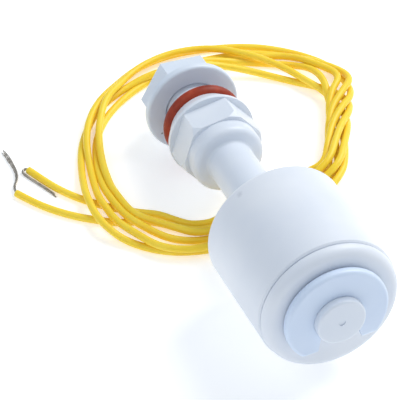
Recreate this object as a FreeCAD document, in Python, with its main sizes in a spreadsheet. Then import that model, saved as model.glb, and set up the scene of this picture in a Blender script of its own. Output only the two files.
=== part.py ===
import FreeCAD, Part
import math
import os
from types import SimpleNamespace

import Sketcher

Vector = FreeCAD.Vector

# Driving sizes in millimetres and degrees. Heights are measured along the stem's axis
# from the flat end below the float.
SIZES = {
    # stem: end boss, clip groove, neck and collar
    "end_radius": 4.07,
    "end_round": 0.4,
    "gate_radius": 0.55,
    "gate_depth": 0.15,
    "groove_start": 1.3,
    "groove_width": 1.75,
    "groove_radius": 3.2,
    "neck_radius": 4.07,
    "collar_start": 45.2,
    "collar_length": 3.0,
    "collar_radius": 6.5,
    "collar_round": 1.1,
    "collar_root_round": 0.5,
    # stem: hexagon and thread
    "hex_flats": 13.5,
    "hex_length": 8.8,
    "hex_turn": 49.0,
    "hex_foot_bevel": 0.6,
    "hex_foot_length": 1.05,
    "hex_rim_proud": 0.16,
    "hex_rim_length": 0.7,
    "hex_cone_length": 2.7,
    "hex_face_radius": 6.6,
    "thread_radius": 4.95,
    "thread_length": 14.8,
    "thread_bevel": 0.5,
    # stem: blind bore for the reed switch, wider where the wires come in
    "bore_floor": 5.0,
    "reed_bore_radius": 2.3,
    "wire_bore_radius": 3.2,
    "bore_step_start": 48.0,
    "bore_step_length": 2.0,
    # retaining clip
    "clip_radius": 8.62,
    "clip_play": 0.06,
    "clip_rim_round": 0.6,
    "clip_corner_round": 1.0,
    "clip_throat_half": 2.9,
    "clip_throat_depth": 2.0,
    "clip_mouth_half": 3.8,
    "clip_chord_inset": 2.72,
    "clip_turn": -4.5,
    # float shell and its cap
    "float_gap": 0.1,
    "float_rest_gap": 0.1,
    "float_foot_radius": 11.65,
    "float_head_radius": 12.05,
    "float_length": 22.65,
    "float_shoulder_round": 0.95,
    "float_bore_bevel": 0.3,
    "float_wall": 1.3,
    "tube_wall": 1.1,
    "cap_inset": 0.25,
    "cap_length": 2.0,
    "cap_round": 1.5,
    "seam_bevel": 0.25,
    "spigot_height": 1.6,
    "spigot_wall": 1.2,
    # ring magnet, held between the cap's sleeve and the shell's stop
    "magnet_length": 5.0,
    "magnet_wall": 2.6,
    "magnet_bevel": 0.3,
    "magnet_start": 12.0,
    "magnet_gap": 0.12,
    "stop_wall": 1.0,
    # lock nut
    "nut_start": 62.8,
    "nut_length": 6.3,
    "nut_turn": 1.3,
    "nut_flange_radius": 8.74,
    "nut_flange_edge": 1.2,
    "nut_flange_cone": 1.0,
    "nut_flange_round": 0.5,
    "nut_thread_gap": 0.1,
    "nut_bore_bevel": 0.35,
    # seal ring
    "seal_section_radius": 1.2,
    "seal_gap": 0.05,
    # reed switch and its leads
    "lead_pitch": 1.44,
    "glass_start": 20.0,
    "glass_length": 14.0,
    "glass_radius": 1.0,
    "glass_wall": 0.28,
    "glass_taper": 0.8,
    "glass_seal": 1.2,
    "glass_neck_radius": 0.6,
    "lead_radius": 0.25,
    "lead_gap": 0.03,
    "blade_width": 1.0,
    "blade_thickness": 0.2,
    "blade_gap": 0.04,
    "blade_overlap": 1.6,
    "lower_lead_length": 7.0,
    "return_dip": 1.4,
    "sleeve_radius": 0.41,
    "sleeve_start": 15.0,
    "sleeve_end_gap": 2.5,
    "solder_start": 49.5,
    "solder_length": 3.0,
    "solder_radius": 0.65,
    "solder_end_radius": 0.45,
    "solder_shoulder": 0.9,
    # potting plug and wires
    "wire_radius": 0.675,
    "seat_gap": 0.02,
    "potting_start": 60.0,
    "potting_recess": 0.6,
    "coil_height": 3.0,
    "coil_passage_height": 1.4,
    "coil_passage_half": 10.4,
    "strand_radius": 0.24,
    "folded_strand_radius": 0.2,
}

# Wire routes: points chosen by hand, millimetres in the part's own frame. The exits start
# at the stem's mouth, which is worked out below.
WIRE_A_EXIT = [
    (0.72, 40.2, 7.6), (3.3, 44.1, 6.2), (7.8, 46.0, 4.6), (12.5, 44.5, 3.0),
    (17.0, 40.8, 1.7), (21.0, 36.6, 0.9), (24.5, 32.2, 0.72), (27.6, 27.9, 0.675),
]
WIRE_B_EXIT = [
    (-0.72, 40.9, 7.54), (2.2, 45.8, 6.3), (7.6, 47.9, 4.8), (13.1, 46.3, 3.2),
    (18.1, 42.4, 1.9), (22.4, 38.1, 1.0), (26.0, 33.6, 0.72), (28.9, 28.9, 0.675),
]
WIRE_A_TAIL = [
    (-19.6, 11.4, 0.675), (-23.4, 13.3, 0.675), (-27.0, 15.9, 0.675), (-30.2, 19.3, 0.675),
    (-32.5, 22.3, 0.675), (-34.3, 25.2, 0.675),
]
WIRE_B_TAIL = [
    (-20.1, 15.9, 0.675), (-23.6, 18.9, 0.675), (-26.6, 22.8, 0.675), (-28.7, 26.7, 0.675),
    (-30.5, 30.4, 0.675),
]
BARE_END_A = [
    (-34.3, 25.2, 0.675), (-34.4, 26.8, 0.62), (-33.2, 28.6, 0.48), (-32.6, 31.2, 0.32),
    (-32.8, 34.5, 0.26), (-33.2, 37.6, 0.26),
]
BARE_END_B = [
    (-30.5, 30.4, 0.675), (-30.95, 31.4, 0.6), (-31.7, 31.2, 0.4), (-31.6, 30.0, 0.25),
    (-30.2, 27.4, 0.22), (-28.9, 24.9, 0.22), (-27.8, 22.3, 0.22),
]
COIL_OUTSIDE = [
    (0.0, 9.3), (-8.2, 9.2), (-12.8, 4.6), (-16.6, 1.9), (-19.9, 4.9), (-22.6, 9.9), (-24.0, 19.0),
    (-22.4, 28.0), (-19.6, 34.8), (-15.0, 43.6), (-7.5, 50.9), (3.6, 54.4), (13.8, 53.4),
    (24.3, 47.8), (33.0, 41.0), (35.2, 33.4), (32.8, 26.3), (28.4, 17.8), (24.6, 10.4),
    (20.2, 6.4), (15.0, 6.2), (8.2, 9.2),
]
COIL_INSIDE = [
    (0.0, 18.4), (-8.4, 18.1), (-14.0, 18.2), (-16.2, 23.5), (-15.8, 29.5), (-13.2, 36.2),
    (-8.0, 42.6), (-1.0, 46.8), (6.0, 49.4), (13.5, 48.6), (21.5, 43.2), (27.4, 36.2),
    (25.6, 31.0), (24.7, 26.2), (22.8, 21.6), (19.2, 18.4), (14.0, 17.4), (8.4, 18.1),
]


# How much of the shorter run beside a corner its arc takes up
ARC_SHARE = 0.45

# How near an edge lies to the place it is looked for
NEAR = 1e-4


class Term:
    """A number worked out from the sheet, with the expression that gives it."""

    def __init__(self, text, number):
        self.text = text
        self.number = number

    @staticmethod
    def of(value):
        return value if isinstance(value, Term) else Term(repr(value), float(value))

    def __add__(self, other):
        other = Term.of(other)
        return Term(f"({self.text} + {other.text})", self.number + other.number)

    def __sub__(self, other):
        other = Term.of(other)
        return Term(f"({self.text} - {other.text})", self.number - other.number)

    def __mul__(self, other):
        other = Term.of(other)
        return Term(f"({self.text} * {other.text})", self.number * other.number)

    def __truediv__(self, other):
        other = Term.of(other)
        return Term(f"({self.text} / {other.text})", self.number / other.number)

    def __neg__(self):
        return Term(f"(-{self.text})", -self.number)


def fill_sheet(doc):
    """Write the driving sizes into the sheet and return a term for each."""
    sheet = doc.addObject("Spreadsheet::Sheet", "Sizes")
    terms = {}
    for row, (alias, number) in enumerate(SIZES.items(), 1):
        sheet.set(f"A{row}", alias)
        sheet.set(f"B{row}", str(number))
        sheet.setAlias(f"B{row}", alias)
        terms[alias] = Term(f"Sizes.{alias}", float(number))
    doc.recompute()
    return SimpleNamespace(**terms)


doc = FreeCAD.newDocument("FloatLevelSwitch")
dim = fill_sheet(doc)
ZERO = Term("0", 0.0)

# Places along the stem that several pieces share
groove_end = dim.groove_start + dim.groove_width
collar_end = dim.collar_start + dim.collar_length
seal_face = collar_end + dim.hex_length
rim_end = seal_face - dim.hex_cone_length
rim_start = rim_end - dim.hex_rim_length
stem_end = seal_face + dim.thread_length
bore_step_end = dim.bore_step_start + dim.bore_step_length
float_foot = groove_end + dim.float_rest_gap
float_seam = float_foot + dim.cap_length
float_head = float_foot + dim.float_length
float_bore = dim.neck_radius + dim.float_gap
tube_radius = float_bore + dim.tube_wall
magnet_end = dim.magnet_start + dim.magnet_length
nut_end = dim.nut_start + dim.nut_length
nut_bore = dim.thread_radius + dim.nut_thread_gap
glass_end = dim.glass_start + dim.glass_length
glass_bore = dim.glass_radius - dim.glass_wall
glass_hole = dim.lead_radius + dim.lead_gap
tongue_low = dim.glass_start + dim.glass_seal + dim.glass_taper
tongue_high = glass_end - dim.glass_seal - dim.glass_taper
lower_lead_start = dim.glass_start - dim.lower_lead_length
half_pitch = dim.lead_pitch / 2


def new_body(label):
    """An empty body whose label is its node's name."""
    body = doc.addObject("PartDesign::Body", label)
    body.Label = label
    return body


def new_sketch(body, name, role, height=ZERO, turn=0.0):
    """A sketch on an origin plane of the body, raised and turned about the plane's normal."""
    sketch = body.newObject("Sketcher::SketchObject", name)
    plane = next(item for item in body.Origin.OriginFeatures if item.Role == role)
    sketch.AttachmentSupport = [(plane, "")]
    sketch.MapMode = "FlatFace"
    sketch.AttachmentOffset = FreeCAD.Placement(
        Vector(0, 0, height.number), FreeCAD.Rotation(Vector(0, 0, 1), turn))
    if height is not ZERO:
        sketch.setExpression("AttachmentOffset.Base.z", height.text)
    return sketch


def bind(sketch, kind, first, first_point, second, second_point, term):
    """A distance between two points of a sketch, bound to the sheet."""
    row = sketch.addConstraint(
        Sketcher.Constraint(kind, first, first_point, second, second_point, term.number))
    sketch.setExpression(f"Constraints[{row}]", term.text)


def outline(sketch, corners):
    """A closed outline of straight sides whose corners are bound to the sheet."""
    points = [Vector(across.number, along.number, 0) for across, along in corners]
    count = len(points)
    for index, point in enumerate(points):
        sketch.addGeometry(Part.LineSegment(point, points[(index + 1) % count]), False)
    for index in range(count):
        sketch.addConstraint(Sketcher.Constraint("Coincident", index, 2, (index + 1) % count, 1))
    for index, (across, along) in enumerate(corners):
        if across is ZERO:
            sketch.addConstraint(Sketcher.Constraint("PointOnObject", index, 1, -2))
        else:
            bind(sketch, "DistanceX", -1, 1, index, 1, across)
        if along is ZERO:
            sketch.addConstraint(Sketcher.Constraint("PointOnObject", index, 1, -1))
        else:
            bind(sketch, "DistanceY", -1, 1, index, 1, along)


def circle(sketch, radius, centre=ZERO):
    """A circle bound to the sheet, its centre on the sketch's own level axis."""
    row = sketch.addGeometry(
        Part.Circle(Vector(centre.number, 0, 0), Vector(0, 0, 1), radius.number), False)
    if centre is ZERO:
        sketch.addConstraint(Sketcher.Constraint("Coincident", row, 3, -1, 1))
    else:
        sketch.addConstraint(Sketcher.Constraint("PointOnObject", row, 3, -1))
        bind(sketch, "DistanceX", -1, 1, row, 3, centre)
    size = sketch.addConstraint(Sketcher.Constraint("Radius", row, radius.number))
    sketch.setExpression(f"Constraints[{size}]", radius.text)


def corner_radius(flats):
    """How far a hexagon's corners stand from its middle, from its width across flats."""
    return Term(f"({flats.text} / sqrt(3))", flats.number / math.sqrt(3))


def hexagon(sketch, flats):
    """A regular hexagon in a circle, one corner on the sketch's level axis."""
    sides = 6
    radius = corner_radius(flats)
    corners = [
        Vector(radius.number * math.cos(2 * math.pi * index / sides),
               radius.number * math.sin(2 * math.pi * index / sides), 0)
        for index in range(sides)
    ]
    for index in range(sides):
        sketch.addGeometry(Part.LineSegment(corners[index], corners[(index + 1) % sides]), False)
    ring = sketch.addGeometry(Part.Circle(Vector(0, 0, 0), Vector(0, 0, 1), radius.number), True)
    sketch.addConstraint(Sketcher.Constraint("Coincident", ring, 3, -1, 1))
    size = sketch.addConstraint(Sketcher.Constraint("Radius", ring, radius.number))
    sketch.setExpression(f"Constraints[{size}]", radius.text)
    for index in range(sides):
        sketch.addConstraint(Sketcher.Constraint("Coincident", index, 2, (index + 1) % sides, 1))
        sketch.addConstraint(Sketcher.Constraint("PointOnObject", index, 1, ring))
    for index in range(1, sides):
        sketch.addConstraint(Sketcher.Constraint("Equal", 0, index))
    sketch.addConstraint(Sketcher.Constraint("PointOnObject", 0, 1, -1))


def turned(body, name, corners, kind="PartDesign::Revolution"):
    """A full turn of an outline about the body's upright axis, added or cut away."""
    sketch = new_sketch(body, name + "_outline", "XZ_Plane")
    outline(sketch, corners)
    feature = body.newObject(kind, name)
    feature.Profile = sketch
    feature.ReferenceAxis = (sketch, ["V_Axis"])
    feature.Angle = 360
    doc.recompute()
    return feature


def padded(body, name, sketch, length):
    """A pad of a sketch, its length bound to the sheet."""
    feature = body.newObject("PartDesign::Pad", name)
    feature.Profile = sketch
    feature.Length = length.number
    feature.setExpression("Length", length.text)
    doc.recompute()
    return feature


def pocketed(body, name, sketch):
    """A cut through the whole piece, both ways from the sketch."""
    before = body.Shape.Volume
    feature = body.newObject("PartDesign::Pocket", name)
    feature.Profile = sketch
    feature.Type = "ThroughAll"
    feature.Midplane = True
    doc.recompute()
    if body.Shape.Volume >= before:
        raise RuntimeError(name + " cuts nothing")
    return feature


def ring_edges(shape, radius, height):
    """Names of the round edges of one radius about the axis at one height."""
    return [
        f"Edge{index}" for index, edge in enumerate(shape.Edges, 1)
        if isinstance(edge.Curve, Part.Circle)
        and abs(edge.Curve.Radius - radius.number) < NEAR
        and abs(edge.Curve.Center.z - height.number) < NEAR
        and math.hypot(edge.Curve.Center.x, edge.Curve.Center.y) < NEAR
    ]


def rounded(body, name, base, edges, radius):
    """A fillet on named edges of the last feature."""
    feature = body.newObject("PartDesign::Fillet", name)
    feature.Base = (base, edges)
    feature.Radius = radius.number
    feature.setExpression("Radius", radius.text)
    doc.recompute()
    return feature


def make_stem_body():
    """The white moulding that carries everything, with its blind bore."""
    body = new_body("stem_body")
    hex_corner = corner_radius(dim.hex_flats)
    hex_rim_radius = hex_corner + dim.hex_rim_proud
    turned(body, "stem_bar", [
        (ZERO, dim.gate_depth),
        (dim.gate_radius, dim.gate_depth),
        (dim.gate_radius, ZERO),
        (dim.end_radius, ZERO),
        (dim.end_radius, dim.groove_start),
        (dim.groove_radius, dim.groove_start),
        (dim.groove_radius, groove_end),
        (dim.neck_radius, groove_end),
        (dim.neck_radius, dim.collar_start),
        (dim.collar_radius, dim.collar_start),
        (dim.collar_radius, collar_end),
        (dim.thread_radius, collar_end),
        (dim.thread_radius, rim_start),
        (hex_rim_radius, rim_start),
        (hex_rim_radius, rim_end),
        (dim.hex_face_radius, seal_face),
        (dim.thread_radius, seal_face),
        (dim.thread_radius, stem_end - dim.thread_bevel),
        (dim.thread_radius - dim.thread_bevel, stem_end),
        (ZERO, stem_end),
    ])
    sketch = new_sketch(body, "stem_hexagon", "XY_Plane", collar_end, dim.hex_turn.number)
    hexagon(sketch, dim.hex_flats)
    padded(body, "stem_hex", sketch, rim_start - collar_end)
    turned(body, "hex_foot", [
        (hex_corner - dim.hex_foot_bevel, collar_end),
        (hex_corner + dim.hex_foot_bevel, collar_end + dim.hex_foot_length * 2),
        (hex_corner + dim.hex_foot_bevel, collar_end),
    ], "PartDesign::Groove")
    bored = turned(body, "stem_bore", [
        (ZERO, dim.bore_floor),
        (dim.reed_bore_radius, dim.bore_floor),
        (dim.reed_bore_radius, dim.bore_step_start),
        (dim.wire_bore_radius, bore_step_end),
        (dim.wire_bore_radius, stem_end),
        (ZERO, stem_end),
    ], "PartDesign::Groove")
    end = rounded(body, "end_edge", bored, ring_edges(bored.Shape, dim.end_radius, ZERO), dim.end_round)
    rim = rounded(body, "collar_edge", end,
                  ring_edges(end.Shape, dim.collar_radius, dim.collar_start), dim.collar_round)
    rounded(body, "collar_root", rim,
            ring_edges(rim.Shape, dim.neck_radius, dim.collar_start), dim.collar_root_round)
    return body


def make_retaining_clip():
    """The open disc that snaps into the groove below the float."""
    body = new_body("retaining_clip")
    turn = dim.clip_turn.number
    thickness = dim.groove_width - dim.clip_play * 2
    chord_depth = dim.clip_radius - dim.clip_chord_inset
    disc_sketch = new_sketch(body, "clip_disc_outline", "XY_Plane", dim.groove_start + dim.clip_play)
    circle(disc_sketch, dim.clip_radius)
    padded(body, "clip_disc", disc_sketch, thickness)
    seat_sketch = new_sketch(body, "clip_seat_outline", "XY_Plane")
    circle(seat_sketch, dim.groove_radius + dim.clip_play)
    pocketed(body, "clip_seat", seat_sketch)
    throat_sketch = new_sketch(body, "clip_throat_outline", "XY_Plane", ZERO, turn)
    outline(throat_sketch, [
        (-dim.clip_throat_half, ZERO),
        (-dim.clip_throat_half, dim.clip_throat_depth),
        (-dim.clip_mouth_half, chord_depth),
        (dim.clip_mouth_half, chord_depth),
        (dim.clip_throat_half, dim.clip_throat_depth),
        (dim.clip_throat_half, ZERO),
    ])
    pocketed(body, "clip_throat", throat_sketch)
    chord_sketch = new_sketch(body, "clip_chord_outline", "XY_Plane", ZERO, turn)
    outline(chord_sketch, [
        (-dim.clip_radius, chord_depth),
        (dim.clip_radius, chord_depth),
        (dim.clip_radius, dim.clip_radius * 2),
        (-dim.clip_radius, dim.clip_radius * 2),
    ])
    chord = pocketed(body, "clip_chord", chord_sketch)
    corners = [
        f"Edge{index}" for index, edge in enumerate(chord.Shape.Edges, 1)
        if len(edge.Vertexes) == 2
        and all(abs(math.hypot(end.X, end.Y) - dim.clip_radius.number) < NEAR for end in edge.Vertexes)
        and abs(edge.Vertexes[0].Z - edge.Vertexes[1].Z) > NEAR
    ]
    legs = rounded(body, "clip_leg_corners", chord, corners, dim.clip_corner_round)
    rims = []
    for height in (dim.groove_start + dim.clip_play, groove_end - dim.clip_play):
        rims += ring_edges(legs.Shape, dim.clip_radius, height)
    rounded(body, "clip_rim", legs, rims, dim.clip_rim_round)
    return body


def make_float_shell():
    """The hollow float with its inner tube and the stop above the magnet."""
    body = new_body("float_shell")
    wall = dim.float_wall
    stop_radius = tube_radius + dim.stop_wall
    stop_start = magnet_end + dim.magnet_gap
    ceiling = float_head - wall
    shell = turned(body, "shell", [
        (float_bore + dim.float_bore_bevel, float_head),
        (dim.float_head_radius, float_head),
        (dim.float_foot_radius, float_seam + dim.seam_bevel),
        (dim.float_foot_radius - dim.seam_bevel, float_seam),
        (dim.float_foot_radius - wall, float_seam),
        (dim.float_head_radius - wall, ceiling),
        (stop_radius, ceiling),
        (stop_radius, stop_start),
        (tube_radius, stop_start),
        (tube_radius, float_seam),
        (float_bore, float_seam),
        (float_bore, float_head - dim.float_bore_bevel),
    ])
    rounded(body, "shoulder", shell,
            ring_edges(shell.Shape, dim.float_head_radius, float_head), dim.float_shoulder_round)
    return body


def make_float_cap():
    """The ring welded into the float's foot, with a spigot and the magnet's sleeve."""
    body = new_body("float_cap")
    cap_radius = dim.float_foot_radius - dim.cap_inset
    spigot_radius = dim.float_foot_radius - dim.float_wall - dim.seat_gap
    spigot_top = float_seam + dim.spigot_height
    sleeve_inner = tube_radius + dim.seat_gap
    sleeve_outer = tube_radius + dim.spigot_wall
    sleeve_top = dim.magnet_start - dim.magnet_gap
    floor = float_seam - dim.seat_gap
    cap = turned(body, "cap", [
        (float_bore, float_foot),
        (cap_radius, float_foot),
        (cap_radius, floor - dim.seam_bevel),
        (cap_radius - dim.seam_bevel, floor),
        (spigot_radius, floor),
        (spigot_radius, spigot_top),
        (spigot_radius - dim.spigot_wall, spigot_top),
        (spigot_radius - dim.spigot_wall, floor),
        (sleeve_outer, floor),
        (sleeve_outer, sleeve_top),
        (sleeve_inner, sleeve_top),
        (sleeve_inner, floor),
        (float_bore, floor),
    ])
    rounded(body, "cap_edge", cap, ring_edges(cap.Shape, cap_radius, float_foot), dim.cap_round)
    return body


def make_ring_magnet():
    """The magnet that runs round the float's inner tube."""
    body = new_body("ring_magnet")
    inner = tube_radius + dim.magnet_gap
    outer = inner + dim.magnet_wall
    bevel = dim.magnet_bevel
    turned(body, "ring", [
        (inner, dim.magnet_start),
        (outer - bevel, dim.magnet_start),
        (outer, dim.magnet_start + bevel),
        (outer, magnet_end - bevel),
        (outer - bevel, magnet_end),
        (inner, magnet_end),
    ])
    return body


def make_lock_nut():
    """The nut with a round flange on the side that faces the seal."""
    body = new_body("lock_nut")
    cone_start = dim.nut_start + dim.nut_flange_edge
    cone_end = cone_start + dim.nut_flange_cone
    turned(body, "nut_flange", [
        (ZERO, dim.nut_start),
        (dim.nut_flange_radius, dim.nut_start),
        (dim.nut_flange_radius, cone_start),
        (dim.nut_flange_radius - dim.nut_flange_cone, cone_end),
        (ZERO, cone_end),
    ])
    sketch = new_sketch(body, "nut_hexagon", "XY_Plane", cone_start, dim.nut_turn.number)
    hexagon(sketch, dim.hex_flats)
    padded(body, "nut_hex", sketch, dim.nut_length - dim.nut_flange_edge)
    bored = turned(body, "nut_bore", [
        (ZERO, dim.nut_start),
        (nut_bore + dim.nut_bore_bevel, dim.nut_start),
        (nut_bore, dim.nut_start + dim.nut_bore_bevel),
        (nut_bore, nut_end - dim.nut_bore_bevel),
        (nut_bore + dim.nut_bore_bevel, nut_end),
        (ZERO, nut_end),
    ], "PartDesign::Groove")
    rounded(body, "flange_edge", bored,
            ring_edges(bored.Shape, dim.nut_flange_radius, dim.nut_start), dim.nut_flange_round)
    return body


def make_seal_ring():
    """The rubber ring that lies on the hexagon's face round the thread."""
    ring = doc.addObject("Part::Torus", "seal_ring")
    ring_radius = dim.thread_radius + dim.seal_gap + dim.seal_section_radius
    ring.setExpression("Radius1", ring_radius.text)
    ring.setExpression("Radius2", dim.seal_section_radius.text)
    return ring


def make_reed_glass():
    """The glass tube, drawn in round the blades at both ends."""
    body = new_body("reed_glass")
    taper = dim.glass_taper
    inside_low = dim.glass_start + dim.glass_seal
    inside_high = glass_end - dim.glass_seal
    turned(body, "glass", [
        (glass_hole, dim.glass_start),
        (dim.glass_neck_radius, dim.glass_start),
        (dim.glass_radius, dim.glass_start + taper),
        (dim.glass_radius, glass_end - taper),
        (dim.glass_neck_radius, glass_end),
        (glass_hole, glass_end),
        (glass_hole, inside_high),
        (glass_bore, inside_high - taper),
        (glass_bore, inside_low + taper),
        (glass_hole, inside_low),
    ])
    return body


def make_blade(label, lead_low, lead_high, flat_low, flat_high, side):
    """A reed: a round lead and a flat tongue that stands off the middle to one side."""
    lead = doc.addObject("Part::Cylinder", label + "_lead")
    lead.setExpression("Radius", dim.lead_radius.text)
    lead.setExpression("Height", (lead_high - lead_low).text)
    lead.setExpression("Placement.Base.z", lead_low.text)
    tongue = doc.addObject("Part::Box", label + "_tongue")
    tongue.setExpression("Length", dim.blade_width.text)
    tongue.setExpression("Width", dim.blade_thickness.text)
    tongue.setExpression("Height", (flat_high - flat_low).text)
    near_face = dim.blade_gap / 2
    if side < 0:
        near_face = -(near_face + dim.blade_thickness)
    tongue.setExpression("Placement.Base.x", (-(dim.blade_width / 2)).text)
    tongue.setExpression("Placement.Base.y", near_face.text)
    tongue.setExpression("Placement.Base.z", flat_low.text)
    blade = doc.addObject("Part::MultiFuse", label)
    blade.Shapes = [lead, tongue]
    return blade


def make_sleeve():
    """The insulating tube on the return lead, which stops short of the solder."""
    length = dim.solder_start - dim.sleeve_end_gap - dim.sleeve_start
    outside = doc.addObject("Part::Cylinder", "sleeve_outside")
    outside.setExpression("Radius", dim.sleeve_radius.text)
    outside.setExpression("Height", length.text)
    outside.setExpression("Placement.Base.z", dim.sleeve_start.text)
    inside = doc.addObject("Part::Cylinder", "sleeve_inside")
    inside.setExpression("Radius", (dim.lead_radius + dim.lead_gap).text)
    inside.setExpression("Height", length.text)
    inside.setExpression("Placement.Base.z", dim.sleeve_start.text)
    sleeve = doc.addObject("Part::Cut", "lead_sleeve")
    sleeve.Base = outside
    sleeve.Tool = inside
    return sleeve


def make_solder_joint(label):
    """The spindle of solder between a lead and a wire."""
    body = new_body(label)
    high = dim.solder_start + dim.solder_length
    turned(body, label + "_bead", [
        (ZERO, dim.solder_start),
        (dim.solder_end_radius, dim.solder_start),
        (dim.solder_radius, dim.solder_start + dim.solder_shoulder),
        (dim.solder_radius, high - dim.solder_shoulder),
        (dim.solder_end_radius, high),
        (ZERO, high),
    ])
    return body


def make_inner_wire(label):
    """The straight stretch of a wire inside the stem."""
    body = new_body(label)
    start = dim.solder_start + dim.solder_length
    sketch = new_sketch(body, label + "_outline", "XY_Plane", start)
    circle(sketch, dim.wire_radius)
    padded(body, label + "_run", sketch, stem_end - start)
    return body


def make_potting_plug():
    """The resin that closes the bore round the two wires."""
    body = new_body("potting_plug")
    sketch = new_sketch(body, "plug_outline", "XY_Plane", dim.potting_start)
    circle(sketch, dim.wire_bore_radius - dim.seat_gap)
    padded(body, "plug", sketch, stem_end - dim.potting_recess - dim.potting_start)
    holes = new_sketch(body, "wire_holes", "XY_Plane")
    circle(holes, dim.wire_radius + dim.seat_gap, half_pitch)
    circle(holes, dim.wire_radius + dim.seat_gap, -half_pitch)
    pocketed(body, "wire_passages", holes)
    return body


def route_edges(label, points):
    """Straight runs joined by tangent arcs, each as large as its two runs allow."""
    corners = [Vector(*point) for point in points]
    edges = []
    radii = []
    start = corners[0]
    for before, corner, after in zip(corners, corners[1:], corners[2:]):
        run_in = corner - before
        run_out = after - corner
        setback = ARC_SHARE * min(run_in.Length, run_out.Length)
        inward = Vector(run_in).normalize()
        outward = Vector(run_out).normalize()
        turn = inward.getAngle(outward)
        radius = setback / math.tan(turn / 2)
        radii.append(round(radius, 1))
        arc_start = corner - inward * setback
        arc_end = corner + outward * setback
        bisector = (outward - inward).normalize()
        middle = corner + bisector * (radius / math.cos(turn / 2) - radius)
        edges.append(Part.LineSegment(start, arc_start).toShape())
        edges.append(Part.Arc(arc_start, middle, arc_end).toShape())
        start = arc_end
    edges.append(Part.LineSegment(start, corners[-1]).toShape())
    print(label, "bend radii", radii)
    return edges


def tube_shape(label, points, radius):
    """A round tube along a route, with its volume compared with section times length."""
    path = Part.Wire(route_edges(label, points))
    along = Vector(*points[1]) - Vector(*points[0])
    section = Part.Wire(Part.Circle(Vector(*points[0]), along, radius).toShape())
    shape = path.makePipeShell([section], True, False)
    expected = math.pi * radius ** 2 * path.Length
    print(label, "length", round(path.Length, 1), "volume ratio", round(shape.Volume / expected, 4))
    return shape


def make_tube(label, points, radius):
    """A stretch of wire, strand or lead as a piece of its own."""
    tube = doc.addObject("Part::Feature", label)
    tube.Shape = tube_shape(label, points, radius.number)
    return tube


def make_return_lead():
    """The lead that turns back at the reed's foot and runs up beside the glass."""
    side = half_pitch.number
    top = lower_lead_start.number
    low = top - dim.return_dip.number
    points = [(-side, 0, top), (-side, 0, low), (side, 0, low), (side, 0, dim.solder_start.number)]
    return make_tube("return_lead", points, dim.lead_radius)


def closed_curve(points):
    """A smooth closed curve through level points."""
    curve = Part.BSplineCurve()
    curve.interpolate(Points=[Vector(across, along, 0) for across, along in points], PeriodicFlag=True)
    return curve


def make_wire_coil():
    """The outer shape of the loose coil, one layer high where it passes under the stem."""
    body = new_body("wire_coil")
    stem_reach = stem_end / 2
    sketch = new_sketch(body, "coil_outline", "XY_Plane")
    sketch.addGeometry(closed_curve(COIL_OUTSIDE), False)
    sketch.addGeometry(closed_curve(COIL_INSIDE), False)
    padded(body, "coil", sketch, dim.coil_height)
    passage = new_sketch(body, "passage_outline", "YZ_Plane")
    outline(passage, [
        (ZERO, dim.coil_passage_height),
        (stem_reach, dim.coil_passage_height),
        (stem_reach, dim.coil_height * 2),
        (ZERO, dim.coil_height * 2),
    ])
    before = body.Shape.Volume
    cut = body.newObject("PartDesign::Pocket", "passage")
    cut.Profile = passage
    cut.Type = "Length"
    cut.Midplane = True
    cut.Length = dim.coil_passage_half.number * 2
    cut.setExpression("Length", (dim.coil_passage_half * 2).text)
    doc.recompute()
    if body.Shape.Volume >= before:
        raise RuntimeError("the passage cuts nothing")
    return body


def trimmed_tube(label, points, coil):
    """A stretch of wire that ends face to face with the coil."""
    tube = doc.addObject("Part::Feature", label + "_whole")
    tube.Shape = tube_shape(label, points, dim.wire_radius.number)
    trimmed = doc.addObject("Part::Cut", label)
    trimmed.Base = tube
    trimmed.Tool = coil
    return trimmed


def rest_placement(stem):
    """Lay the stem down so that the float's shoulder and the nut's flange both touch the floor.

    The frame's origin is on the floor, half way along the stem.
    """
    shoulder = dim.float_shoulder_round.number
    flange = dim.nut_flange_round.number
    along = (dim.nut_start.number + flange) - (float_head.number - shoulder)
    shoulder_centre = dim.float_head_radius.number - shoulder
    flange_centre = dim.nut_flange_radius.number - flange
    across = shoulder_centre - flange_centre
    tilt = math.atan2(across, along) + math.asin((shoulder - flange) / math.hypot(across, along))
    height = (
        (float_head.number - shoulder) * math.sin(tilt) + shoulder_centre * math.cos(tilt) + shoulder
    )
    turned_down = FreeCAD.Rotation(Vector(1, 0, 0), -90 - math.degrees(tilt))
    laid = stem.Shape.copy()
    laid.Placement = FreeCAD.Placement(Vector(0, 0, height), turned_down)
    middle = (laid.BoundBox.YMin + laid.BoundBox.YMax) / 2
    return tilt, FreeCAD.Placement(Vector(0, -middle, height), turned_down)


def beside(across, along=0.0):
    """The rest placement of a piece made on the origin's upright axis."""
    return rest.multiply(FreeCAD.Placement(Vector(across, 0, along), FreeCAD.Rotation()))


def from_mouth(across, points):
    """A wire's route, with its first point at the stem's mouth."""
    mouth = rest.multVec(Vector(across, 0, stem_end.number))
    return [tuple(mouth)] + points


left = -half_pitch.number
right = half_pitch.number
glass_middle = dim.glass_start + dim.glass_length / 2
tongue_reach = dim.blade_overlap / 2

stem = make_stem_body()
tilt, rest = rest_placement(stem)

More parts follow.
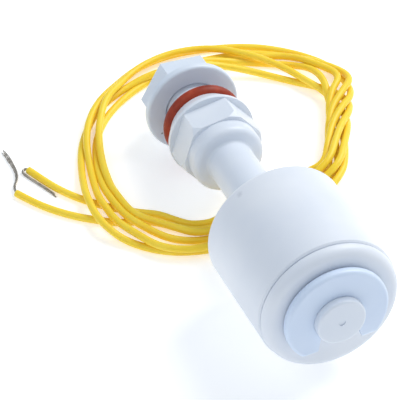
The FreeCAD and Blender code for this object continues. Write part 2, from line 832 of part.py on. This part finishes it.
# Each piece with its distance beside the stem's axis
on_stem = {
    stem: 0.0,
    make_retaining_clip(): 0.0,
    make_float_shell(): 0.0,
    make_float_cap(): 0.0,
    make_ring_magnet(): 0.0,
    make_lock_nut(): 0.0,
    make_reed_glass(): left,
    make_blade("reed_blade_lower", lower_lead_start, tongue_low,
               tongue_low, glass_middle + tongue_reach, 1): left,
    make_blade("reed_blade_upper", tongue_high, dim.solder_start,
               glass_middle - tongue_reach, tongue_high, -1): left,
    make_return_lead(): 0.0,
    make_sleeve(): right,
    make_solder_joint("solder_joint_a"): right,
    make_solder_joint("solder_joint_b"): left,
    make_potting_plug(): 0.0,
    make_inner_wire("wire_a_inner"): right,
    make_inner_wire("wire_b_inner"): left,
}
seal = make_seal_ring()
coil = make_wire_coil()
on_floor = [
    trimmed_tube("wire_a_exit", from_mouth(right, WIRE_A_EXIT), coil),
    trimmed_tube("wire_b_exit", from_mouth(left, WIRE_B_EXIT), coil),
    trimmed_tube("wire_a_tail", WIRE_A_TAIL, coil),
    trimmed_tube("wire_b_tail", WIRE_B_TAIL, coil),
    make_tube("bare_end_a", BARE_END_A, dim.strand_radius),
    make_tube("bare_end_b", BARE_END_B, dim.folded_strand_radius),
    coil,
]
for piece, across in on_stem.items():
    piece.Placement = beside(across)
seal.Placement = beside(0.0, seal_face.number + dim.seal_section_radius.number)
doc.recompute()

nodes = list(on_stem) + [seal] + on_floor
for item in doc.Objects:
    if "Invalid" in item.State or "Error" in item.State:
        raise RuntimeError(item.Name + " failed")
for node in nodes:
    if node.Shape.isNull() or not node.Shape.isValid():
        raise RuntimeError(node.Label + " has no valid shape")

os.makedirs("parts", exist_ok=True)
for node in nodes:
    node.Shape.exportStep(f"parts/{node.Label}.step")

travel = dim.collar_start.number - float_head.number
print("tilt", round(math.degrees(tilt), 3), "axis start", tuple(round(value, 3) for value in rest.Base))
print("axis", (0.0, round(math.cos(tilt), 5), round(-math.sin(tilt), 5)), "float travel", round(travel, 2))
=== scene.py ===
# The looks of the float level switch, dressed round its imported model. Metres, degrees.

import math
import random

import bpy
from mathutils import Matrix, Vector


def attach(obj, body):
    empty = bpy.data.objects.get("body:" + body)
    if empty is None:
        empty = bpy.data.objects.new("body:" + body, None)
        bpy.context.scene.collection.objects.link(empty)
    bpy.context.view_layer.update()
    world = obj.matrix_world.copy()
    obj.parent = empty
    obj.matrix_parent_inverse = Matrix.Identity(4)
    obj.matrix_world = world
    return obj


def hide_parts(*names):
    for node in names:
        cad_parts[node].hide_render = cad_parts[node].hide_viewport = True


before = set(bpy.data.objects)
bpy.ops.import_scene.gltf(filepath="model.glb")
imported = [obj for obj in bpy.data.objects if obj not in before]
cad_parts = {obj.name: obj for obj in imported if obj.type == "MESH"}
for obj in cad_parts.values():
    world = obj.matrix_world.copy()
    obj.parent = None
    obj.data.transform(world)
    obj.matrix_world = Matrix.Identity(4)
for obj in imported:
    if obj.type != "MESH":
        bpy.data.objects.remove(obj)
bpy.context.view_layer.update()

MM = 0.001

# The stem's axis, from the middle of its clip end towards its mouth
AXIS_START = Vector((0.0, -35.788, 14.141)) * MM
AXIS = Vector((0.0, 0.99631, -0.08581))

# Places along the stem, where its thread starts and where it ends
HEX_END = 57.0 * MM
MOUTH = 71.8 * MM

# The thread: its radii, its pitch and the bevel at the mouth
THREAD_MAJOR = 4.95 * MM
THREAD_MINOR = 4.3 * MM
THREAD_PITCH = 1.5 * MM
THREAD_BEVEL = 0.5 * MM

# The shares of a pitch that are crest and root, and the points round a turn and along a pitch
THREAD_CREST = 0.22
THREAD_ROOT = 0.18
THREAD_AROUND = 72
THREAD_STEPS = 14

# How far the threaded skin reaches in under the root, and how far the moulding is sunk there
SKIN_REACH = 0.3 * MM
SUNK = 0.04 * MM

# Which of the moulding's points are sunk: outside the bore, and as far as these margins allow
BORE_LIMIT = 4.0 * MM
MAJOR_MARGIN = 0.05 * MM
END_MARGIN = 0.01 * MM

# The wires' thickness, and the strands twisted in their bare ends
WIRE = 1.35 * MM
WIRE_RADIUS = WIRE / 2
STRANDS = 7
STRAND_RADIUS = 0.085 * MM
LAY_RADIUS = STRAND_RADIUS * 2.1
LAY_TURNS = 1.6

# The photograph's view: where the camera stands, where it looks, and its lens
CAMERA_PLACE = Vector((-80.77, -183.29, 190.72)) * MM
VIEW_AZIMUTH = math.radians(21.336)
VIEW_DOWN = math.radians(42.235)
LENS = 144.0
SENSOR = 36.0
NEAREST = 0.01
FARTHEST = 10.0

# The studio: a glowing floor, a pale sky, and each light's name, place, width, power and colour
FLOOR_REACH = 1.5
FLOOR_WHITE = (0.92, 0.92, 0.92, 1)
FLOOR_GLOW = 0.36
SKY = (0.80, 0.89, 1.0, 1)
SKY_STRENGTH = 0.5
LIGHTS = [
    ("key", (0.42, 0.14, 0.48), 0.4, 3.15, (1.0, 0.99, 0.97)),
    ("fill", (-0.45, -0.05, 0.5), 0.5, 0.85, (0.93, 0.96, 1.0)),
]

# The whites of the mouldings: the darker and the lighter tone, and the roughness
STEM_WHITE = ((0.70, 0.75, 0.83), (0.76, 0.80, 0.86), 0.38)
# The nut's tones are darker than the stem's: painted shade for its shaded flange face
NUT_PAINTED_SHADE_WHITE = ((0.65, 0.72, 0.82), (0.71, 0.77, 0.85), 0.4)
FLOAT_WHITE = ((0.73, 0.77, 0.84), (0.79, 0.82, 0.87), 0.42)
# The clip's tones are bluer and darker than the float's: painted shade for its front faces
CLIP_PAINTED_SHADE_WHITE = ((0.63, 0.73, 0.89), (0.69, 0.78, 0.92), 0.4)


# Camera, floor and lights

def make_camera():
    """A long lens at the photograph's angle."""
    data = bpy.data.cameras.new("camera")
    data.lens = LENS
    data.sensor_width = SENSOR
    data.clip_start = NEAREST
    data.clip_end = FARTHEST
    camera = bpy.data.objects.new("camera", data)
    camera.location = CAMERA_PLACE
    look = Vector((
        math.sin(VIEW_AZIMUTH) * math.cos(VIEW_DOWN),
        math.cos(VIEW_AZIMUTH) * math.cos(VIEW_DOWN),
        -math.sin(VIEW_DOWN),
    ))
    camera.rotation_euler = look.to_track_quat("-Z", "Y").to_euler()
    bpy.context.scene.collection.objects.link(camera)
    bpy.context.scene.camera = camera


def make_light(name, place, size, power, colour):
    """A square soft light that faces the object."""
    data = bpy.data.lights.new(name, "AREA")
    data.shape = "SQUARE"
    data.size = size
    data.energy = power
    data.color = colour
    light = bpy.data.objects.new(name, data)
    light.location = place
    light.rotation_euler = (-Vector(place)).to_track_quat("-Z", "Y").to_euler()
    bpy.context.scene.collection.objects.link(light)


def make_studio():
    """A pale floor, a pale sky and soft lights."""
    floor_mesh = bpy.data.meshes.new("floor")
    reach = FLOOR_REACH
    floor_mesh.from_pydata(
        [(-reach, -reach, 0), (reach, -reach, 0), (reach, reach, 0), (-reach, reach, 0)],
        [], [(0, 1, 2, 3)],
    )
    floor = bpy.data.objects.new("floor", floor_mesh)
    bpy.context.scene.collection.objects.link(floor)
    material, shader = new_material("floor_white")
    shader.inputs["Base Color"].default_value = FLOOR_WHITE
    shader.inputs["Roughness"].default_value = 0.9
    shader.inputs["Specular IOR Level"].default_value = 0.1
    shader.inputs["Emission Color"].default_value = (1, 1, 1, 1)
    shader.inputs["Emission Strength"].default_value = FLOOR_GLOW
    floor_mesh.materials.append(material)

    world = bpy.data.worlds.new("studio")
    world.use_nodes = True
    background = world.node_tree.nodes["Background"]
    background.inputs["Color"].default_value = SKY
    background.inputs["Strength"].default_value = SKY_STRENGTH
    bpy.context.scene.world = world
    for light in LIGHTS:
        make_light(*light)
    bpy.context.scene.view_settings.view_transform = "Standard"


# Materials

def new_material(name):
    """A node material and its shader."""
    material = bpy.data.materials.new(name)
    material.use_nodes = True
    shader = material.node_tree.nodes["Principled BSDF"]
    return material, shader


def add_node(material, kind, **settings):
    """A node with some of its settings."""
    node = material.node_tree.nodes.new(kind)
    for key, value in settings.items():
        setattr(node, key, value)
    return node


def object_place(material):
    """The place on the object's own mesh."""
    return add_node(material, "ShaderNodeTexCoord").outputs["Object"]


def noise(material, scale, detail=2.0, stretch=None):
    """A noise pattern over the object's mesh."""
    links = material.node_tree.links
    pattern = add_node(material, "ShaderNodeTexNoise")
    pattern.inputs["Scale"].default_value = scale
    pattern.inputs["Detail"].default_value = detail
    place = object_place(material)
    if stretch:
        mapping = add_node(material, "ShaderNodeMapping")
        mapping.inputs["Scale"].default_value = stretch
        links.new(place, mapping.inputs["Vector"])
        place = mapping.outputs["Vector"]
    links.new(place, pattern.inputs["Vector"])
    return pattern.outputs["Fac"]


def ramp(material, value, stops):
    """Colours along a value."""
    node = add_node(material, "ShaderNodeValToRGB")
    elements = node.color_ramp.elements
    while len(elements) < len(stops):
        elements.new(0.5)
    for element, (position, colour) in zip(elements, stops):
        element.position = position
        element.color = (*colour, 1)
    material.node_tree.links.new(value, node.inputs["Fac"])
    return node.outputs["Color"]


def bump(material, shader, value, strength, distance):
    """Relief from a value."""
    node = add_node(material, "ShaderNodeBump")
    node.inputs["Strength"].default_value = strength
    node.inputs["Distance"].default_value = distance
    material.node_tree.links.new(value, node.inputs["Height"])
    material.node_tree.links.new(node.outputs["Normal"], shader.inputs["Normal"])


def spot(material, place, reach, soft):
    """One near a place and nought beyond it, with an uneven edge."""
    links = material.node_tree.links
    distance = add_node(material, "ShaderNodeVectorMath", operation="DISTANCE")
    links.new(object_place(material), distance.inputs[0])
    distance.inputs[1].default_value = place
    wobble = add_node(material, "ShaderNodeMath", operation="MULTIPLY_ADD")
    links.new(noise(material, 1400.0), wobble.inputs[0])
    wobble.inputs[1].default_value = soft
    links.new(distance.outputs["Value"], wobble.inputs[2])
    fade = add_node(material, "ShaderNodeMapRange", interpolation_type="SMOOTHSTEP")
    fade.inputs["From Min"].default_value = reach
    fade.inputs["From Max"].default_value = reach + soft
    fade.inputs["To Min"].default_value = 1.0
    fade.inputs["To Max"].default_value = 0.0
    links.new(wobble.outputs["Value"], fade.inputs["Value"])
    return fade.outputs["Result"]


def mixed(material, share, first, second):
    """One colour over another by a share."""
    links = material.node_tree.links
    node = add_node(material, "ShaderNodeMix", data_type="RGBA")
    links.new(share, node.inputs["Factor"])
    links.new(first, node.inputs["A"])
    node.inputs["B"].default_value = (*second, 1)
    return node.outputs["Result"]


def plastic(name, dark, light, roughness, marks=()):
    """Moulded white plastic, faintly cloudy, with a fine skin and any marks of dirt."""
    material, shader = new_material(name)
    colour = ramp(material, noise(material, 90.0, 3.0), [(0.3, dark), (0.7, light)])
    for place, reach, soft, tint, strength in marks:
        share = add_node(material, "ShaderNodeMath", operation="MULTIPLY")
        material.node_tree.links.new(spot(material, place, reach, soft), share.inputs[0])
        share.inputs[1].default_value = strength
        colour = mixed(material, share.outputs["Value"], colour, tint)
    material.node_tree.links.new(colour, shader.inputs["Base Color"])
    shader.inputs["Roughness"].default_value = roughness
    shader.inputs["Subsurface Weight"].default_value = 0.12
    shader.inputs["Subsurface Radius"].default_value = (1.0, 1.0, 1.1)
    shader.inputs["Subsurface Scale"].default_value = 0.0012
    bump(material, shader, noise(material, 2600.0, 4.0), 0.12, 0.00006)
    return material


def insulation():
    """Soft yellow insulation, a little uneven in colour and skin."""
    material, shader = new_material("yellow_insulation")
    colour = ramp(material, noise(material, 160.0, 3.0), [
        (0.25, (0.95, 0.63, 0.03)), (0.5, (0.97, 0.67, 0.04)), (0.75, (0.97, 0.71, 0.06)),
    ])
    material.node_tree.links.new(colour, shader.inputs["Base Color"])
    shader.inputs["Roughness"].default_value = 0.42
    shader.inputs["Specular IOR Level"].default_value = 0.4
    shader.inputs["Subsurface Weight"].default_value = 0.3
    shader.inputs["Subsurface Radius"].default_value = (1.0, 0.8, 0.3)
    shader.inputs["Subsurface Scale"].default_value = 0.0015
    bump(material, shader, noise(material, 1100.0, 3.0), 0.15, 0.00005)
    return material


def rubber():
    """Red-brown rubber with a dull, slightly dusty skin."""
    material, shader = new_material("red_rubber")
    colour = ramp(material, noise(material, 420.0, 6.0), [
        (0.3, (0.23, 0.021, 0.006)), (0.55, (0.34, 0.036, 0.010)), (0.8, (0.46, 0.07, 0.026)),
    ])
    material.node_tree.links.new(colour, shader.inputs["Base Color"])
    shader.inputs["Roughness"].default_value = 0.5
    shader.inputs["Specular IOR Level"].default_value = 0.35
    bump(material, shader, noise(material, 1500.0, 5.0), 0.25, 0.00008)
    return material


def metal(name, dark, light, roughness, stretch=None):
    """Bare metal, a little tarnished."""
    material, shader = new_material(name)
    colour = ramp(material, noise(material, 900.0, 4.0, stretch), [(0.3, dark), (0.7, light)])
    material.node_tree.links.new(colour, shader.inputs["Base Color"])
    shader.inputs["Metallic"].default_value = 1.0
    shader.inputs["Roughness"].default_value = roughness
    bump(material, shader, noise(material, 2200.0, 3.0), 0.1, 0.00003)
    return material


def resin():
    """Dark potting resin, glossy where it set."""
    material, shader = new_material("potting_resin")
    colour = ramp(material, noise(material, 500.0, 4.0), [
        (0.3, (0.045, 0.045, 0.05)), (0.7, (0.085, 0.085, 0.095)),
    ])
    material.node_tree.links.new(colour, shader.inputs["Base Color"])
    shader.inputs["Roughness"].default_value = 0.22
    bump(material, shader, noise(material, 350.0, 2.0), 0.3, 0.0002)
    return material


def glass():
    """Clear glass with a green tint."""
    material, shader = new_material("reed_glass")
    colour = ramp(material, noise(material, 300.0), [
        (0.3, (0.80, 0.95, 0.86)), (0.7, (0.88, 0.98, 0.92)),
    ])
    material.node_tree.links.new(colour, shader.inputs["Base Color"])
    shader.inputs["Transmission Weight"].default_value = 1.0
    shader.inputs["Roughness"].default_value = 0.02
    shader.inputs["IOR"].default_value = 1.5
    return material


def magnet():
    """Sintered ferrite, dark and grainy."""
    material, shader = new_material("ferrite")
    colour = ramp(material, noise(material, 2500.0, 8.0), [
        (0.3, (0.035, 0.035, 0.038)), (0.7, (0.075, 0.075, 0.08)),
    ])
    material.node_tree.links.new(colour, shader.inputs["Base Color"])
    shader.inputs["Roughness"].default_value = 0.55
    bump(material, shader, noise(material, 3000.0, 8.0), 0.4, 0.0001)
    return material


def sleeve_plastic():
    """Thin dark tubing."""
    material, shader = new_material("sleeve_tubing")
    colour = ramp(material, noise(material, 600.0), [
        (0.3, (0.06, 0.06, 0.07)), (0.7, (0.10, 0.10, 0.11)),
    ])
    material.node_tree.links.new(colour, shader.inputs["Base Color"])
    shader.inputs["Roughness"].default_value = 0.4
    bump(material, shader, noise(material, 1800.0, 3.0), 0.15, 0.00005)
    return material


def on_axis(radius, degrees, along):
    """A point given round the stem's axis: nought to the right, 90 down, 270 up."""
    turn = math.radians(degrees)
    right = Vector((1.0, 0.0, 0.0))
    down = AXIS.cross(right)
    across = right * (radius * math.cos(turn)) + down * (radius * math.sin(turn))
    return AXIS_START + AXIS * along + across


# The coil of the two wires

# The middle line of the coil, once round and clockwise from above, in millimetres.
# COLUMN runs down the right side, ROW under the stem, SIDE up the left side and over the top.
LOOP = [
    (31.2, 31.6), (29.6, 27.4), (27.5, 23.0), (25.4, 18.8), (23.0, 14.2), (20.2, 9.2),
    (14.8, 7.8), (9.3, 8.6), (3.4, 7.0),
    (-2.6, 3.2), (-8.5, 2.3), (-13.2, 4.2), (-17.0, 8.6), (-18.7, 11.5), (-19.6, 14.4),
    (-20.3, 17.4), (-20.6, 20.5), (-19.9, 26.6), (-17.9, 32.6), (-15.4, 38.0), (-12.1, 42.8),
    (-7.4, 46.8), (-1.4, 49.2), (5.6, 50.0), (12.8, 49.4), (19.6, 46.4), (25.2, 41.8),
    (29.4, 36.6),
]
COLUMN = range(0, 6)
ROW = range(6, 9)
SIDE = range(9, 28)

# How the six strands turn round each other down the right side, at each point of COLUMN:
# degrees from the first point, half the bundle's width, and how far its middle lies outwards
TWIST = [
    (0, 3.5, -0.1), (65, 2.4, 0.2), (125, 2.05, 0.1), (175, 1.8, 0.0), (205, 1.75, 0.0),
    (225, 1.95, 0.0),
]

# In millimetres: half the bundle's height, the height of a wire that lies on the floor, and the
# distance from wire to wire in ROW
BUNDLE_HALF_HEIGHT = 1.65
FLOOR = WIRE_RADIUS / MM
ROW_PITCH = 1.5

# Each strand's distance outwards from the middle line and its height, at each point of SIDE.
# The two tails leave the coil after the third point.
LEFT_OUTER = [
    (4.7, 0.68), (3.0, 0.68), (3.3, 0.68), (4.2, 0.9), (4.5, 2.3), (4.0, 2.2),
    (3.2, 2.25), (2.5, 1.9), (1.8, 0.9), (1.8, 0.68), (1.1, 0.68), (0.4, 0.68),
    (-1.0, 1.0), (-2.0, 2.1), (-2.6, 2.0), (-1.6, 0.68), (0.4, 0.68), (2.2, 1.7), (0.4, 3.2),
]
LEFT_SECOND = [
    (3.1, 1.8), (4.0, 2.1), (4.0, 2.1), (2.5, 2.15), (2.15, 2.05), (1.55, 2.05),
    (1.2, 2.05), (0.5, 1.4), (0.2, 0.9), (0.9, 2.0), (1.03, 2.1), (0.66, 2.1),
    (1.0, 1.0), (2.64, 0.68), (3.4, 0.68), (3.1, 0.68), (4.1, 0.68), (4.5, 0.68), (4.4, 0.68),
]
LEFT_THIRD = [
    (1.6, 0.68), (0.55, 0.68), (0.6, 1.3), (0.3, 2.0), (0.0, 2.05), (-0.3, 2.05),
    (-0.6, 2.05), (-0.95, 1.3), (-1.05, 0.68), (-0.73, 0.68), (-1.2, 0.68), (-2.0, 0.68),
    (-2.5, 0.68), (-2.0, 0.68), (-1.0, 0.68), (-0.1, 0.68), (1.9, 0.68), (3.1, 0.68), (2.9, 1.9),
]
LEFT_INNER = [
    (0.6, 1.9), (0.05, 2.0), (-1.95, 2.0), (-1.3, 2.05), (-1.35, 2.05), (-1.65, 2.05),
    (-1.95, 2.05), (-2.2, 1.7), (-2.1, 1.6), (-1.45, 2.05), (-1.0, 2.1), (-0.6, 3.0),
    (-0.25, 2.15), (1.72, 1.7), (2.5, 1.9), (1.5, 2.1), (-1.1, 2.6), (-2.2, 2.1), (-3.9, 2.1),
]
TAIL_OUTER = [(-0.8, 0.68), (-2.2, 0.68), (-3.4, 0.68)]
TAIL_INNER = [(-2.3, 0.68), (-3.8, 0.68), (-4.85, 0.68)]

# In millimetres: from the mouth to the coil, from the coil to the cut ends, and the bare ends
EXIT_A = [
    (0.72, 35.747, 7.98), (0.72, 39.6, 7.5), (3.4, 43.0, 5.6), (7.9, 44.7, 3.9), (12.7, 44.2, 2.5),
    (17.6, 42.0, 1.4), (21.9, 38.9, 0.8), (25.2, 36.0, 0.68), (27.8, 33.9, 0.68),
]
EXIT_B = [
    (-0.72, 35.747, 7.98), (-0.72, 40.4, 7.5), (2.1, 44.6, 5.5), (7.4, 46.5, 3.4),
    (12.9, 46.7, 1.9), (16.4, 46.0, 1.0), (19.6, 44.9, 0.68), (25.6, 42.0, 0.68), (28.6, 37.2, 2.5),
]
TAIL_A = [
    (-14.6, 9.7, 0.68), (-17.4, 10.6, 0.68), (-20.2, 11.4, 0.68), (-22.9, 13.1, 0.68),
    (-26.2, 15.4, 0.68), (-29.3, 18.3, 0.68), (-32.0, 21.5, 0.68), (-34.3, 25.2, 0.68),
]
TAIL_B = [
    (-12.7, 10.9, 0.68), (-15.4, 12.3, 0.68), (-18.2, 14.2, 0.68), (-21.3, 16.7, 0.68),
    (-24.3, 19.7, 0.68), (-26.9, 23.2, 0.68), (-28.8, 26.7, 0.68), (-30.5, 30.4, 0.68),
]
BARE_A = [
    (-34.3, 25.2, 0.675), (-34.4, 26.8, 0.62), (-33.2, 28.6, 0.48), (-32.6, 31.2, 0.32),
    (-32.8, 34.5, 0.26), (-33.2, 37.6, 0.26),
]
BARE_B = [
    (-30.5, 30.4, 0.675), (-30.75, 31.05, 0.6), (-31.55, 30.95, 0.4), (-31.5, 29.9, 0.25),
    (-30.2, 27.4, 0.22), (-28.9, 24.9, 0.22), (-27.8, 22.3, 0.22),
]

# Each wire's rounds: where the strand enters the twist, its place in the row under the stem,
# counted outwards, how high it still lies where the row starts, and its line up the left side
ROUNDS_A = [(255, -0.5, 1.0, LEFT_INNER), (195, 0.5, 0.0, LEFT_THIRD), (15, -1.5, 0.0, TAIL_OUTER)]
ROUNDS_B = [(135, 2.5, 0.0, LEFT_OUTER), (75, 1.5, 0.0, LEFT_SECOND), (315, -2.5, 0.0, TAIL_INNER)]


def beside_loop(index, outwards, height):
    """A point beside the coil's middle line."""
    before = Vector(LOOP[index - 1])
    here = Vector(LOOP[index])
    after = Vector(LOOP[(index + 1) % len(LOOP)])
    ahead = (after - before).normalized()
    place = here + Vector((-ahead.y, ahead.x)) * outwards
    return (place.x, place.y, height)


def wire_round(entry, place_in_row, lift, side):
    """One strand down the right side, under the stem and up the left side."""
    points = []
    for index, (turned, half_width, middle) in zip(COLUMN, TWIST):
        angle = math.radians(entry + turned)
        outwards = middle + half_width * math.cos(angle)
        height = FLOOR + BUNDLE_HALF_HEIGHT * (1 + math.sin(angle))
        points.append(beside_loop(index, outwards, height))
    for index in ROW:
        height = FLOOR + lift if index == ROW.start else FLOOR
        points.append(beside_loop(index, place_in_row * ROW_PITCH, height))
    for index, (outwards, height) in zip(SIDE, side):
        points.append(beside_loop(index, outwards, height))
    return points


def wire_points(exit_points, rounds, tail):
    """The whole route of a wire."""
    points = list(exit_points)
    for one in rounds:
        points += wire_round(*one)
    return points + tail


def nurbs_line(name, points, radius):
    """A smooth curve along points given in millimetres."""
    curve = bpy.data.curves.new(name, "CURVE")
    curve.dimensions = "3D"
    spline = curve.splines.new("NURBS")
    spline.points.add(len(points) - 1)
    for point, place in zip(spline.points, points):
        point.co = (*(Vector(place) * MM), 1.0)
    spline.order_u = 3
    spline.use_endpoint_u = True
    spline.resolution_u = 6
    curve.bevel_depth = radius
    curve.bevel_resolution = 4
    curve.use_fill_caps = radius > 0
    piece = bpy.data.objects.new(name, curve)
    bpy.context.scene.collection.objects.link(piece)
    return piece


def line_places(name, points):
    """Places read along the smooth curve."""
    guide = nurbs_line(name + "_guide", points, 0.0)
    mesh = bpy.data.meshes.new_from_object(guide)
    places = [vertex.co.copy() for vertex in mesh.vertices]
    bpy.data.objects.remove(guide)
    bpy.data.meshes.remove(mesh)
    return places


def make_strands(name, points, material, seed, spread):
    """The bare strands of a wire's end: a loose lay that opens towards the tip."""
    chance = random.Random(seed)
    places = line_places(name, points)
    curve = bpy.data.curves.new(name, "CURVE")
    curve.dimensions = "3D"
    for strand in range(STRANDS):
        reach = len(places) - chance.randint(0, 2)
        spline = curve.splines.new("POLY")
        spline.points.add(reach - 1)
        away = 0.0 if strand == 0 else LAY_RADIUS
        own = chance.uniform(0.6, 1.3) * spread
        for index in range(reach):
            ahead = (places[min(index + 1, reach - 1)] - places[max(index - 1, 0)]).normalized()
            side = ahead.cross(Vector((0, 0, 1))).normalized()
            rise = side.cross(ahead)
            share = index / (len(places) - 1)
            angle = math.tau * (strand / (STRANDS - 1) + LAY_TURNS * share)
            width = away * (1 + own * share ** 2)
            off_middle = side * (width * math.cos(angle)) + rise * (width * math.sin(angle))
            place = places[index] + off_middle
            place.z = max(place.z, STRAND_RADIUS)
            spline.points[index].co = (*place, 1.0)
    curve.bevel_depth = STRAND_RADIUS
    curve.bevel_resolution = 2
    curve.use_fill_caps = True
    curve.materials.append(material)
    piece = bpy.data.objects.new(name, curve)
    bpy.context.scene.collection.objects.link(piece)
    return piece


def make_wire(name, points, material, body, nodes):
    """One wire as a smooth tube along its route, in place of its imported pieces."""
    wire = nurbs_line(name, points, WIRE_RADIUS)
    wire.data.materials.append(material)
    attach(wire, body)
    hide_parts(*nodes)


def make_wires():
    """Both wires, their coil and their bare ends."""
    yellow = insulation()
    tinned = metal("tinned_copper", (0.42, 0.38, 0.33), (0.66, 0.62, 0.56), 0.35)
    for letter, points, spread in (("a", BARE_A, 1.0), ("b", BARE_B, 0.2)):
        bare = make_strands("strands_" + letter, points, tinned, ord(letter), spread)
        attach(bare, "stem")
        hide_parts("bare_end_" + letter)
    route_a = wire_points(EXIT_A, ROUNDS_A, TAIL_A)
    route_b = wire_points(EXIT_B, ROUNDS_B, TAIL_B)
    make_wire("wire_a", route_a, yellow, "stem",
              ("wire_a_exit", "wire_coil", "wire_a_tail"))
    make_wire("wire_b", route_b, yellow, "stem",
              ("wire_b_exit", "wire_coil", "wire_b_tail"))


# The stem's thread

def thread_radius(along, turn):
    """The thread's radius at a place along and round the stem."""
    phase = (along / THREAD_PITCH - turn / math.tau) % 1.0
    flank = (1 - THREAD_CREST - THREAD_ROOT) / 2
    if phase < THREAD_ROOT:
        share = 0.0
    elif phase < THREAD_ROOT + flank:
        share = (phase - THREAD_ROOT) / flank
    elif phase < THREAD_ROOT + flank + THREAD_CREST:
        share = 1.0
    else:
        share = (1.0 - phase) / flank
    radius = THREAD_MINOR + (THREAD_MAJOR - THREAD_MINOR) * share
    return min(radius, THREAD_MAJOR - THREAD_BEVEL + (MOUTH - along))


def make_thread(material):
    """The stem moulding, sunk where it is threaded, and a skin there whose radius follows a helix."""
    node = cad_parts["stem_body"]
    mesh = node.data.copy()
    mesh.name = "stem_moulding"
    for vertex in mesh.vertices:
        offset = vertex.co - AXIS_START
        along = offset.dot(AXIS)
        across = offset - AXIS * along
        threaded = along > HEX_END - END_MARGIN
        if threaded and BORE_LIMIT < across.length < THREAD_MAJOR + MAJOR_MARGIN:
            vertex.co = AXIS_START + AXIS * along + across.normalized() * (THREAD_MINOR - SUNK)
    stem = bpy.data.objects.new("stem_moulding", mesh)
    mesh.materials.clear()
    mesh.materials.append(material)
    bpy.context.scene.collection.objects.link(stem)
    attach(stem, "stem")
    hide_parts("stem_body")

    step = THREAD_PITCH / THREAD_STEPS
    rows = int(round((MOUTH - HEX_END) / step))
    verts = []
    for row in range(rows + 1):
        along = HEX_END + (MOUTH - HEX_END) * row / rows
        for k in range(THREAD_AROUND):
            turn = math.tau * k / THREAD_AROUND
            verts.append(on_axis(thread_radius(along, turn), math.degrees(turn), along))
    inner_radius = THREAD_MINOR - SKIN_REACH
    for along in (MOUTH, HEX_END):
        for k in range(THREAD_AROUND):
            verts.append(on_axis(inner_radius, 360.0 * k / THREAD_AROUND, along))
    rings = rows + 3
    faces = []
    for row in range(rings):
        following = (row + 1) % rings
        for k in range(THREAD_AROUND):
            beyond = (k + 1) % THREAD_AROUND
            faces.append((
                row * THREAD_AROUND + k, row * THREAD_AROUND + beyond,
                following * THREAD_AROUND + beyond, following * THREAD_AROUND + k,
            ))
    thread_mesh = bpy.data.meshes.new("stem_thread")
    thread_mesh.from_pydata(verts, [], faces)
    thread_mesh.validate()
    thread_mesh.materials.append(material)
    thread = bpy.data.objects.new("stem_thread", thread_mesh)
    bpy.context.scene.collection.objects.link(thread)
    for face in thread_mesh.polygons:
        face.use_smooth = True
    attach(thread, "stem")


# Everything together

def paint(name, material):
    """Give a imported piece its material."""
    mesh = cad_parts[name].data
    mesh.materials.clear()
    mesh.materials.append(material)


def dress_nodes():
    """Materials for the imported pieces, the stem's thread and two marks of dirt."""
    # Each mark is its place, its reach, its soft edge, its tint and its strength
    speck = (on_axis(7.25 * MM, 148.6, 62.8 * MM), 0.00018, 0.0002, (0.10, 0.09, 0.08), 0.85)
    smudge = (on_axis(12.0 * MM, 235.5, 23.9 * MM), 0.0004, 0.0008, (0.42, 0.44, 0.50), 0.35)
    white = plastic("white_plastic", *STEM_WHITE)
    # The nut's darker white is painted shade; the speck on it is dirt
    nut_painted_shade_white = plastic("white_plastic_nut_painted_shade", *NUT_PAINTED_SHADE_WHITE, [speck])
    float_white = plastic("white_plastic_float", *FLOAT_WHITE, [smudge])
    # The clip's bluer white is painted shade
    clip_painted_shade_white = plastic("white_plastic_clip_painted_shade", *CLIP_PAINTED_SHADE_WHITE)
    make_thread(white)
    paint("lock_nut", nut_painted_shade_white)
    paint("float_shell", float_white)
    paint("float_cap", float_white)
    paint("retaining_clip", clip_painted_shade_white)
    paint("seal_ring", rubber())
    paint("ring_magnet", magnet())
    paint("reed_glass", glass())
    paint("potting_plug", resin())
    paint("lead_sleeve", sleeve_plastic())
    lead = metal("nickel_iron_lead", (0.48, 0.46, 0.42), (0.62, 0.60, 0.56), 0.3)
    for name in ("reed_blade_lower", "reed_blade_upper", "return_lead"):
        paint(name, lead)
    solder = metal("solder", (0.55, 0.56, 0.58), (0.72, 0.73, 0.75), 0.25)
    for name in ("solder_joint_a", "solder_joint_b"):
        paint(name, solder)
    for name in ("wire_a_inner", "wire_b_inner"):
        paint(name, bpy.data.materials["yellow_insulation"])


make_camera()
make_studio()
make_wires()
dress_nodes()
